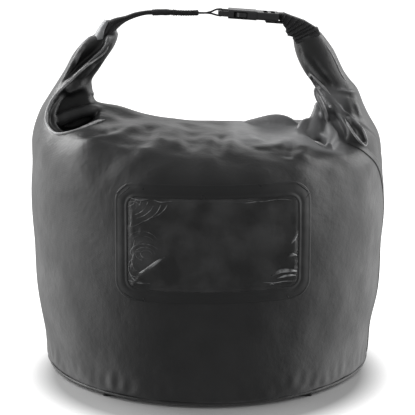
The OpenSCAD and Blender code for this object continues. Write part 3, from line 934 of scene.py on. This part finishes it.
def paint_ridge_wear_and_highlight(obj):
    """Stores how far each point stands out of its surroundings: ridges are painted lighter, partly as wear and
    partly as a painted highlight, and the right-hand folds all over as a painted highlight.
    """
    points, out = vertex_array(obj), normal_array(obj)
    ends = np.empty(len(obj.data.edges) * 2, int)
    obj.data.edges.foreach_get("vertices", ends)
    a, b = ends.reshape(-1, 2).T
    count = np.bincount(np.concatenate([a, b]), minlength=len(points))[:, None]
    even = points.copy()
    for _ in range(RIDGE_ROUNDS):
        total = np.stack([np.bincount(a, even[b, k], len(points))
                          + np.bincount(b, even[a, k], len(points)) for k in range(3)], 1)
        even = (even + total / count) / 2
    proud = ((points - even) * out).sum(1)
    layer = obj.data.attributes.new("wear_and_highlight", "FLOAT", "POINT")
    place = to_handle(points)
    # The right-hand folds get a painted highlight all over
    folds = smooth((place - FOLD_LIGHT_LOW) / 14).prod(1) * smooth((FOLD_LIGHT_HIGH - place) / 14).prod(1)
    layer.data.foreach_set("value", np.maximum(smooth((proud - RIDGE_FROM) / RIDGE_DEPTH), FOLD_LIGHT * folds))


# The window's centre and how far the fabric is set back behind it; its frame's size, corner and border
WINDOW_X, WINDOW_Z, WINDOW_SINK = 5.0, 151.0, 4.0
FRAME_W, FRAME_H, FRAME_CORNER, BORDER = 175.0, 105.0, 17.0, 12.0
PANE_W, PANE_H = FRAME_W - 2 * BORDER, FRAME_H - 2 * BORDER


def sink_window(obj):
    """Sets the fabric back behind the clear pane."""
    points = vertex_array(obj)
    x, z = np.abs(points[:, 0] - WINDOW_X), np.abs(points[:, 2] - WINDOW_Z)
    inside = smooth((PANE_W / 2 - x) / 4) * smooth((PANE_H / 2 - z) / 4) * (points[:, 1] < -100)
    points[:, 1] += WINDOW_SINK * inside
    set_vertices(obj, points)


crumple(bag_shell)
press(bag_shell, ARM_MARKS + SHOULDER_MARKS)
paint_ridge_wear_and_highlight(bag_shell)
front = surface_tree(bag_shell)
sink_window(bag_shell)

# Where the left arm is split, in the handle's frame
SPLIT_Z = -50.0
# The left arm lies left of this and above this, in metres
ARM_X, ARM_Z = -0.06, 0.25


def split_left(obj, name):
    """Takes what lies on the left arm above the split off a mesh, as a piece of its own."""
    upper = obj.copy()
    upper.data = obj.data.copy()
    upper.name = name
    bpy.context.scene.collection.objects.link(upper)
    place = Vector(handle_point((0, 0, SPLIT_Z)) * MM)
    up = Vector(UP)
    for piece, keep_upper in ((obj, False), (upper, True)):
        bm = bmesh.new()
        bm.from_mesh(piece.data)
        left = [v for v in bm.verts if v.co.x < ARM_X and v.co.z > ARM_Z]
        chosen = set(left)
        edges = [e for e in bm.edges if e.verts[0] in chosen and e.verts[1] in chosen]
        faces = [f for f in bm.faces if all(v in chosen for v in f.verts)]
        bmesh.ops.bisect_plane(bm, geom=left + edges + faces, dist=1e-6, plane_co=place, plane_no=up)
        gone = [f for f in bm.faces
                if ((f.calc_center_median() - place).dot(up) > 0 and f.calc_center_median().x < ARM_X)
                != keep_upper]
        bmesh.ops.delete(bm, geom=gone, context="FACES")
        bm.to_mesh(piece.data)
        bm.free()
    return upper


def fabric_piece(obj, name=None):
    """Bakes the piece's place into its mesh; given a name, first takes its part on the left arm above the split
    off as a piece of its own, and returns that.
    """
    if name:
        upper = split_left(obj, name)
        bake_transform(upper)
    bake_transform(obj)
    return upper if name else obj


# ---------------------------------------------------------------- edges of the folded fabric

# Paths in the handle's frame as seen from the front: round the left opening, under the right one,
# along the two folds beside it, and round the right arm's cuff
LEFT_RIM = [(-93.5, -14.5), (-94.5, -18.5), (-97.5, -24.5), (-103.5, -30.5), (-111.5, -37.8), (-119.5, -46),
            (-126, -53.3), (-132.5, -60.5), (-138, -66.8), (-142.6, -73.3), (-146, -81), (-147.6, -89),
            (-147.2, -95.5), (-145, -101.2), (-140.5, -106), (-134.5, -109.6), (-127, -109.6),
            (-118.5, -107.2), (-111, -103.8), (-104, -99), (-97.5, -94.5), (-91, -92)]
RIGHT_EDGE = [(68, -79), (84, -87.5), (96, -93.6), (108, -100), (119, -106)]
UPPER_DRAPE = [(107, -49.3), (109.5, -55), (115.2, -64.4), (119, -72.1), (121, -80), (121.5, -93.8),
               (121.4, -106)]
LONG_DRAPE = [(100.6, -31.2), (111.2, -41.2), (117.6, -47.6), (132.7, -62.2), (148.7, -76.9), (157.2, -93.2),
              (156.8, -100.2), (151.7, -97.6), (143.9, -88.2), (135.7, -73.9)]
CUFF_SEAM = [(113, -1), (120.5, -11), (126, -20.5), (131.5, -30.5), (137, -37.5)]

# The widest gap that a bead crosses, the step between its rings, and the fewest rings it may have
BEAD_REACH, BEAD_STEP, BEAD_MIN = 3.5, 1.2, 12


def bead(name, path, radius, lift, tree):
    """A rounded edge that follows a path over the fabric, left out where the fabric falls away."""
    centre, normals = drape(tree, path, lift)
    broken = np.linalg.norm(np.diff(centre, axis=0), axis=1) > BEAD_REACH
    broken |= ~(normals[1:].any(1) & normals[:-1].any(1))
    solids = []
    for run in np.split(centre, np.flatnonzero(broken) + 1):
        if len(run) < 3:
            continue
        run = resample(run, BEAD_STEP)
        if len(run) < BEAD_MIN:
            continue
        for _ in range(4):
            run[1:-1] = (run[:-2] + 2 * run[1:-1] + run[2:]) / 4
        from_end = np.minimum(np.arange(len(run)), np.arange(len(run))[::-1])
        solids.append(tube_rows(run, radius * np.clip(from_end / 6, 0.1, 1), 10))
    # The beads take the fold edges' painted highlight as their colour
    return joined(name, solids, FOLD_EDGE_HIGHLIGHT)


rim_bead = bead("left_fold_edge", LEFT_RIM, 1.4, 0.1, uncut)
edge_bead = bead("right_fold_edge", RIGHT_EDGE, 1.0, 0.0, uncut)
cuff_bead = bead("right_cuff_edge", CUFF_SEAM, 0.8, 0.0, front)
upper_bead = bead("right_upper_drape_edge", UPPER_DRAPE, 1.8, -0.2, front)
long_bead = bead("right_long_drape_edge", LONG_DRAPE, 1.2, 0.1, front)

left_sleeve = fabric_piece(bag_shell, "left_arm_sleeve")
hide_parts("wall", "right_arm", "collar_roll")
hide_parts("left_arm")
fabric_piece(rim_bead, "left_sleeve_edge")
for piece in (edge_bead, cuff_bead, upper_bead, long_bead):
    fabric_piece(piece)


# ---------------------------------------------------------------- the window

def rounded_rectangle(w, h, r, count, bow):
    """Points round a rectangle with round corners, whose bottom edge may bow downwards."""
    path = []
    for quarter, (right, top) in enumerate(((1, 1), (-1, 1), (-1, -1), (1, -1))):
        cx, cz = right * (w / 2 - r), top * (h / 2 - r)
        for t in np.linspace(0, math.pi / 2, 13) + quarter * math.pi / 2:
            path.append((cx + r * math.cos(t), cz + r * math.sin(t)))
    path.append(path[0])
    p = np.array(path)
    s = run_lengths(p)
    q = np.arange(count) * s[-1] / count
    p = np.stack([np.interp(q, s, p[:, 0]), np.interp(q, s, p[:, 1])], 1)
    p[:, 1] -= bow * (1 - (2 * p[:, 0] / w) ** 2) * (p[:, 1] < -h / 4)
    return p


# How far from the bag's axis the search for its surface starts, in metres: in front and at the side
FRONT_RAY, SIDE_RAY = 0.4, 0.3


def on_front(points, heights):
    """Window-plane points laid on the bag's front, each at its height above the fabric."""
    out = []
    for (x, z), h in zip(points, heights):
        place = Vector(((WINDOW_X + x) * MM, -FRONT_RAY, (WINDOW_Z + z) * MM))
        hit, normal, _, _ = front.ray_cast(place, Vector((0, 1, 0)))
        out.append(np.array(hit) / MM + np.array(normal) * h)
    return out


# From the frame's outer edge to its inner one: inset and height above the fabric
FRAME_PROFILE = [(0, -0.8), (0.1, 0.1), (0.4, 0.3), (1.2, 0.34), (1.9, 0.28), (2.6, 0.28), (3.3, 0.36),
                 (5.5, 0.5), (7.6, 0.46), (8.4, 0.26), (9.2, 0.28), (9.9, 0.42), (10.6, 0.56), (11.3, 0.52),
                 (11.8, 0.2), (12.1, -0.4), (12.3, -1.0)]


def window_frame():
    """The welded frame: its profile of grooves, swept round the window."""
    count = 420
    points = []
    for inset, height in FRAME_PROFILE:
        ring = rounded_rectangle(FRAME_W - 2 * inset, FRAME_H - 2 * inset, FRAME_CORNER - inset * 0.72,
                                 count, 1.6 * inset / BORDER)
        wobble = 0.1 * value_noise(columns(ring[:, 0], ring[:, 1], 0), 14, 9)
        points += on_front(ring, height + wobble)
    return new_mesh("welded_window_frame", points, grid_faces(len(FRAME_PROFILE), count), FRAMING)


def ring_wrinkle(x, z, cx, cz, rx, rz, start, sweep_angle, height, width=0.9):
    """The height of a curved crease: part of an ellipse, in degrees anticlockwise from start."""
    a = np.degrees(np.arctan2((z - cz) / rz, (x - cx) / rx))
    along = (a - start) % 360 / sweep_angle
    r = np.hypot((x - cx) / rx, (z - cz) / rz)
    fade = smooth(along / 0.15) * smooth((1 - along) / 0.15) * (along < 1)
    return height * np.exp(-((r - 1) * min(rx, rz) / width) ** 2) * fade


def line_wrinkle(x, z, x0, z0, x1, z1, height, width):
    """The height of a straight crease from one point to another."""
    d = np.array([x1 - x0, z1 - z0])
    u = np.clip(((x - x0) * d[0] + (z - z0) * d[1]) / (d @ d), 0, 1)
    gap = np.hypot(x - x0 - u * d[0], z - z0 - u * d[1])
    return height * np.exp(-(gap / width) ** 2) * smooth(u / 0.2 + 0.15) * smooth((1 - u) / 0.2 + 0.15)


# Curved creases of the clear pane, from its centre: x, z, radii, start, sweep and height
PANE_RINGS = [
    (-68, 24, 3, 5, 0, 359, 0.5), (-63, 35, 3.5, 5, 120, 240, 0.7), (-57, 36, 4, 6, 150, 220, 0.7),
    (-49, 32, 7, 8, 200, 160, 0.7), (-44, 29, 5, 9, 200, 150, 0.6), (-52, 22, 6, 6, 180, 170, 0.6),
    (-47, 19, 8, 7, 190, 140, 0.7), (-58, 10, 6, 6, 0, 200, 0.5), (-61, 2, 9, 6, 20, 170, 0.6),
    (-57, -8, 13, 10, 10, 200, 0.7), (-60, -14, 9, 8, 60, 250, 0.6), (-56, -10, 5, 4, 0, 300, 0.6),
    (-66, -17, 5, 9, 60, 200, 0.7), (-70, -26, 4, 6, 20, 220, 0.8), (-36, 24, 4, 8, 180, 140, 0.5),
    (70, -24, 16, 6, 20, 150, 1.2), (72, -30, 20, 5, 40, 120, 1.0), (76, -12, 8, 4, 60, 150, 1.0),
    (78, 2, 6, 9, 90, 120, 0.9)]
# Straight creases of the clear pane: from, to, height and width
PANE_LINES = [
    (-70, -33, -42, -14, 1.3, 2.2), (-74, -34, -56, -36, 0.8, 1.0), (-72, -38, -64, -30, 0.9, 1.2),
    (48, -36, 72, -37, 0.8, 0.8), (54, -40, 60, -37, 0.7, 0.8), (-30, 31, 8, 34, 0.5, 2.5),
    (5, 12, 30, 14, 0.4, 3.0), (-30, -30, 40, -31, 0.5, 1.5), (66, -28, 74, -22, 0.8, 1.6)]


def window_pane():
    """The clear pane: a slight bulge, soft dents and its curved and straight creases."""
    nx, nz = 150, 84
    xs = np.linspace(-PANE_W / 2 - 0.4, PANE_W / 2 + 0.4, nx)
    zs = np.linspace(-PANE_H / 2 - 2.2, PANE_H / 2 + 0.4, nz)
    x, z = (g.ravel() for g in np.meshgrid(xs, zs))
    flat = columns(x, z, 0)
    height = 0.3 + 0.5 * (1 - (2 * x / PANE_W) ** 2) * (1 - (2 * z / PANE_H) ** 2)
    height += 0.22 * value_noise(flat, 38, 11) + 0.05 * value_noise(flat, 9, 12)
    height += 0.12 * value_noise(flat, 11, 13) * smooth((-30 - x) / 20)
    for ring in PANE_RINGS:
        height += 0.55 * ring_wrinkle(x, z, *ring)
    for line in PANE_LINES:
        height += 0.6 * line_wrinkle(x, z, *line)
    edge = np.minimum(PANE_W / 2 + 0.6 - np.abs(x), PANE_H / 2 + 0.6 - np.abs(z))
    height = height * smooth(edge / 4)
    return new_mesh("clear_window_pane", on_front(zip(x, z), height), grid_faces(nz, nx, False), FILM)


# A crease's height over the fabric, and how much of its radius it sinks, so that wide ones are low
CREASE_LIFT, CREASE_SINK = 0.5, 0.5


def crease(path, radii):
    """A fine raised crease or crescent of the film through window-plane points."""
    rows = catmull([(x, z, r) for (x, z), r in zip(path, radii)], 6)
    radius = rows[:, 2]
    return round_tube(on_front(rows[:, :2], CREASE_LIFT - CREASE_SINK * radius), radius, 8, 2)


def ring_crease(cx, cz, rx, rz, start, turn, radius):
    """A crease along part of an ellipse, in degrees anticlockwise from start."""
    a = np.radians(start + turn * np.linspace(0, 1, 9))
    path = np.stack([cx + rx * np.cos(a), cz + rz * np.sin(a)], 1)
    return crease(path, radius * np.array([0.4, 0.8, 1, 1, 0.7, 1, 1, 0.8, 0.4]))


# The film's crisp creases: centre, radii, start and turn in degrees, thickness
CREASE_RINGS = [
    (-76, 41, 8, 9, 282, 70, 0.28), (-76, 41, 13, 13, 278, 66, 0.24), (-76, 41, 19, 17, 290, 58, 0.3),
    (-76, 41, 25, 20, 288, 52, 0.24), (-76, 41, 31, 24, 296, 50, 0.3), (-76, 41, 37, 22, 306, 40, 0.22),
    (-76, 41, 22, 27, 276, 34, 0.24), (-62, 2, 13, 9, 20, 140, 0.22), (-62, 1, 10, 6, 25, 130, 0.2),
    (-60, -8, 13, 8, 30, 190, 0.24), (-60, -9, 9, 6, 0, 250, 0.2), (-59, -9, 5, 3.6, 0, 300, 0.2),
    (-66, -16, 6, 9, 70, 200, 0.24), (-70, -22, 5, 8, 100, 190, 0.26)]
# Creases and crescents along given points, thickest in the middle
CREASE_LINES = [
    ([(-74, 40), (-66, 38.2), (-57, 39.4)], 0.5), ([(-74, 36), (-69, 36.5), (-64, 34)], 0.3),
    ([(-52, 39), (-46, 37.6), (-36, 38.8)], 0.3), ([(-75, 12), (-72.5, 18), (-73, 25)], 0.35),
    ([(-66, -27), (-58, -22), (-49, -15), (-43, -11)], 2.0), ([(-74, -28), (-70, -33), (-63, -35)], 0.6),
    ([(-75, -34), (-66, -35.5), (-56, -35)], 0.5), ([(-74, -8), (-71, -4), (-69, 4)], 0.3),
    ([(52, -29.5), (60, -26), (68, -26), (75, -27.5)], 2.2), ([(57, -32), (66, -30.5), (74, -31)], 1.2),
    ([(44, -34.5), (54, -36), (64, -35.5), (74, -36.5)], 0.35),
    ([(66, -13), (70, -11.5), (74.5, -12.5)], 1.7),
    ([(69.5, -1), (72.5, 3), (75, 7)], 1.4), ([(50, -37.5), (52, -36.5), (54, -37.5)], 0.4),
    ([(20, 38), (30, 37.2), (44, 38.4)], 0.25), ([(30, 39), (42, 37.6), (58, 38.6), (70, 37)], 0.25)]


def film_creases():
    """All the crisp creases of the film, in one piece."""
    solids = [ring_crease(*ring) for ring in CREASE_RINGS]
    for path, width in CREASE_LINES:
        t = np.linspace(0, 1, len(path))
        solids.append(crease(path, width * (0.25 + 0.75 * np.sin(math.pi * t))))
    # The creases are coloured with a painted glint
    return joined("window_film_creases", solids, CREASE_GLINT)


# Marks where the frame's strips meet at the corners: from and to, in the window's plane
MITRES = [([(-86, 42), (-76, 51)], 0.35), ([(-83.5, 40), (-74, 48.5)], 0.3), ([(85, 43), (75, 50.5)], 0.35),
          ([(83, 38), (86.5, 41)], 0.3), ([(-62, -49), (-60, -52.5)], 0.35), ([(66, -48.5), (68, -52)], 0.35),
          ([(-80, -46.5), (-72, -50.5), (-62, -51.8)], 0.3), ([(68, -51.4), (78, -49.5), (84, -44)], 0.3)]


def frame_marks():
    """The fine lines where the frame's strips meet."""
    solids = [crease(path, [width] * len(path)) for path, width in MITRES]
    return joined("window_frame_marks", solids, FRAMING)


window_edge = window_frame()
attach(window_edge, "bag")
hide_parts("window_frame")
pane = window_pane()
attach(pane, "bag")
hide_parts("window_pane")
creases = film_creases()
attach(creases, "bag")
marks = frame_marks()
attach(marks, "bag")

# ---------------------------------------------------------------- the base weld and the side seam

# The weld's bead round the bottom: radius and height
WELD_PROFILE = [(158.6, 3.05), (160.4, 3.05), (161.0, 3.4), (161.2, 4.0), (161.1, 4.7), (160.7, 5.1),
                (160.0, 5.3)]


def weld_rim():
    """The wavy bead of the base weld, closed all round."""
    count = 400
    a = turns(count)
    wave = 0.25 * value_noise(columns(np.cos(a), np.sin(a), 0) * BASE_R, 30, 15)
    points = []
    for k, (r, z) in enumerate(WELD_PROFILE):
        edge = r + wave * (0 < k < len(WELD_PROFILE) - 1)
        points += list(columns(edge * np.cos(a), edge * np.sin(a), z))
    faces = grid_faces(len(WELD_PROFILE), count)
    last = (len(WELD_PROFILE) - 1) * count
    faces += [(last + c, last + (c + 1) % count, (c + 1) % count, c) for c in range(count)]
    return new_mesh("base_weld", points, faces, TARPAULIN)


# The seam's angle in degrees low down and at its top, the height from which it leans to the front,
# the height of its top, and half its width
SEAM_ANGLE, SEAM_TOP_ANGLE = -6.0, -21.0
SEAM_LEAN_FROM, SEAM_TOP = 165.0, 224.0
SEAM_HALF = 6.0
# Across the seam: place, from edge to edge, and height above the fabric
SEAM_SECTION = [(-1, -0.5), (-0.97, 0.45), (-0.9, 0.75), (-0.4, 0.8), (0.1, 0.7), (0.6, 0.8), (0.93, 0.7),
                (0.98, 0.35), (1, -0.5)]


def side_seam():
    """The lap weld up the right-hand side, laid on the fabric."""
    heights = np.linspace(7, SEAM_TOP, 150)
    points = []
    for z in heights:
        lean = float(smooth((z - SEAM_LEAN_FROM) / (SEAM_TOP - SEAM_LEAN_FROM)))
        for across, lift in SEAM_SECTION:
            angle = SEAM_ANGLE + (SEAM_TOP_ANGLE - SEAM_ANGLE) * lean
            a = math.radians(angle) + across * SEAM_HALF / BELLY_R
            out = Vector((math.cos(a), math.sin(a), 0))
            place = Vector((0, 0, z * MM)) + out * SIDE_RAY
            hit, normal, _, _ = front.ray_cast(place, -out)
            points.append(np.array(hit) / MM + np.array(normal) * lift)
    return new_mesh("side_lap_seam", points, grid_faces(len(heights), len(SEAM_SECTION), False), TARPAULIN)


rim = weld_rim()
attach(rim, "bag")
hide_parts("base_weld_rim")
seam = side_seam()
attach(seam, "bag")
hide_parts("side_seam")

# ---------------------------------------------------------------- the straps

# The strap that comes out of the left arm's end: upper edge, lower edge, half depth
STRAP_ROWS = [
    ((-106, -18), (-90, -16), 6.5), ((-101.5, -8), (-88.2, -9), 6.5), ((-96.5, -0.5), (-85.2, -5), 6),
    ((-90, 3.4), (-80.5, -0.6), 5.4), ((-80, 6.4), (-75.5, 2.6), 4.6), ((-71, 10.2), (-68, 6), 3.6),
    ((-61.5, 12.6), (-60.5, 8.4), 3), ((-53, 13.8), (-52.6, 9.4), 2.4), ((-40, 14.6), (-39.8, 10.6), 2.2)]
# The light liner that shows at the arm's end
LINER_ROWS = [((-111, -19), (-100, -17)), ((-107.5, -12), (-99, -9)), ((-103.8, -5), (-96, -1)),
              ((-99.6, 1.6), (-94, 1.8))]
# Round a strap's section: how far across from its upper edge, and how far to the rear
STRAP_SECTION = ((0, 0), (0.06, -0.7), (0.3, -1), (0.52, -0.72), (0.75, -0.95), (0.95, -0.6),
                 (1, 0), (0.9, 0.7), (0.5, 1), (0.1, 0.7))
LINER_SECTION = ((0, -1), (0.3, -6.4), (0.7, -8), (1, -7), (1, -6.4), (0.7, -7.4), (0.3, -5.8), (0, -0.4))


def strip_section(upper, lower, section, depth):
    """A section laid from an upper to a lower edge point, so many times as deep."""
    (xu, zu), (xl, zl) = upper, lower
    return [(xu + (xl - xu) * t, y * depth, zu + (zl - zu) * t) for t, y in section]


def left_strap():
    """The narrow strap that comes out of the left arm."""
    rows = [strip_section(upper, lower, STRAP_SECTION, depth) for upper, lower, depth in STRAP_ROWS]
    return new_mesh("left_webbing", *loft_solid(rows, 8, 4), WEBBING)


def liner():
    """The light liner just inside the end of the left arm."""
    rows = [strip_section(upper, lower, LINER_SECTION, 1) for upper, lower in LINER_ROWS]
    return new_mesh("left_sleeve_liner", *loft_solid(rows, 8, 4), LINER)


# The gathered webbing at the right: lower and upper corner of each pleat, from the buckle down
PLEATS = [
    ((66.5, 13.8), (66.5, 19.8)), ((70.8, 11.6), (73.5, 19.8)), ((73.4, 7), (80, 17.8)),
    ((75.8, 4.6), (87, 15.9)), ((76, 1.4), (93.4, 14)), ((78.6, -1.6), (98.5, 11.4)),
    ((82.6, -2), (102, 9.6)), ((83.5, -5), (106.4, 7.4)), ((86, -8), (109, 2.5))]
# Across a pleat: place, and how full it is there; along it: place, and how proud it stands
PLEAT_SWELLS = ((0.0, 0.55), (0.05, 0.9), (0.35, 1.0), (0.7, 1.0), (0.95, 0.9), (1.0, 0.55))
PLEAT_STEPS = ((-0.25, 0.6), (0.0, 0.85), (0.5, 1.0), (0.95, 1.12), (1.04, 0.9))


def right_webbing():
    """Overlapping pleats, each a soft box from one row of corners to the next."""
    solids = []
    for k in range(len(PLEATS) - 1):
        near, far = np.array(PLEATS[k]), np.array(PLEATS[k + 1])
        depth = 9.0 + 0.25 * k
        step = 1.6 if k % 2 else 2.4
        rows = []
        for u, proud in PLEAT_STEPS:
            reach = depth + step * (proud - 1) * 4
            row = []
            for side, swells in ((-1, PLEAT_SWELLS), (1, PLEAT_SWELLS[::-1])):
                for t, swell in swells:
                    a = near[0] + (near[1] - near[0]) * t
                    b = far[0] + (far[1] - far[0]) * t
                    x, z = a + (b - a) * u
                    row.append((x, side * reach * swell, z))
            rows.append(row)
        solids.append(loft_solid(rows, 4, 3))
    return joined("right_gathered_webbing", solids, WEBBING)


# The whipped cord: its two ends in the handle's frame, then its radius, the pitch and the height of
# its wraps, and the length at its start that has none
WHIP_FROM, WHIP_TO = (-54.5, 0, 11.2), (-9.5, 0, 14.2)
WHIP_R, WRAP_PITCH, WRAP_H, PLAIN_L = 2.7, 1.6, 0.32, 15.0


def whipped_cord():
    """Tight wraps of cord; the first stretch is bound flat under a smooth sleeve."""
    ends = handle_point([WHIP_FROM, WHIP_TO])
    length = np.linalg.norm(ends[1] - ends[0])
    t = np.linspace(0, 1, 280)
    along = t * length
    ribbed = smooth((along - PLAIN_L) / 3)
    radius = WHIP_R + 0.35 * (1 - ribbed) + WRAP_H * ribbed * np.cos(2 * math.pi * along / WRAP_PITCH)
    radius += 0.12 * value_noise(columns(along, 0, 0), 5, 21)
    radius *= np.sqrt(np.clip(np.minimum(t, 1 - t) / 0.012, 0.1, 1))
    centre = ends[0] + t[:, None] * (ends[1] - ends[0])
    centre[:, 2] += 0.35 * np.sin(along / 7.0)
    return new_mesh("cord_whipping", *tube_rows(centre, radius, 20), CORD)


strap = left_strap()
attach(strap, "left_half")
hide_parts("left_strap")
whip = whipped_cord()
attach(whip, "left_half")
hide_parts("whipping")
sleeve_liner = liner()
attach(sleeve_liner, "left_half")
gathered = right_webbing()
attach(gathered, "handle")
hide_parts("right_webbing")


def stitches(name, path, count, length, tree, along):
    """A row of short threads over a path on the webbing's front, each laid in one direction."""
    centre, _ = drape(tree, path, 0.1, plane_y=0.0)
    places = resample(centre, run_lengths(centre)[-1] / (count - 1))
    half = along * length / 2
    solids = []
    for p in places:
        ends = [p - half, p - half / 2 - VIEW * 0.3, p + half / 2 - VIEW * 0.3, p + half]
        solids.append(round_tube(ends, [0.3, 0.35, 0.35, 0.3], 8, 3))
    return joined(name, solids, THREAD)


left_tack = stitches("left_stitching", [(-89, -2), (-84, 1.6)], 5, 3.2, surface_tree(strap),
                     handle_point((-1, 0, 1.2)) - handle_point((0, 0, 0)))
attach(left_tack, "left_half")
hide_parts("left_bartack")
right_tack = stitches("right_stitching", [(69, 16.5), (71.5, 13)], 6, 2.4, surface_tree(gathered),
                      handle_point((1, 0, 0.6)) - handle_point((0, 0, 0)))
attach(right_tack, "handle")
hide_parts("right_bartack")

PAINT = {
    "shell_fabric": TARPAULIN, "frame_vinyl": FRAMING, "clear_vinyl": FILM, "pad_rubber": RUBBER,
    "stiffener": STRIP, "buckle_plastic": PLASTIC, "webbing": WEBBING, "cord": CORD, "thread": THREAD}
slot_of = {s["node"]: s["material_slot"] for s in frame["record"]["subparts"]}
for name, obj in frame["nodes"].items():
    obj.data.materials.clear()
    obj.data.materials.append(PAINT[slot_of[name]])
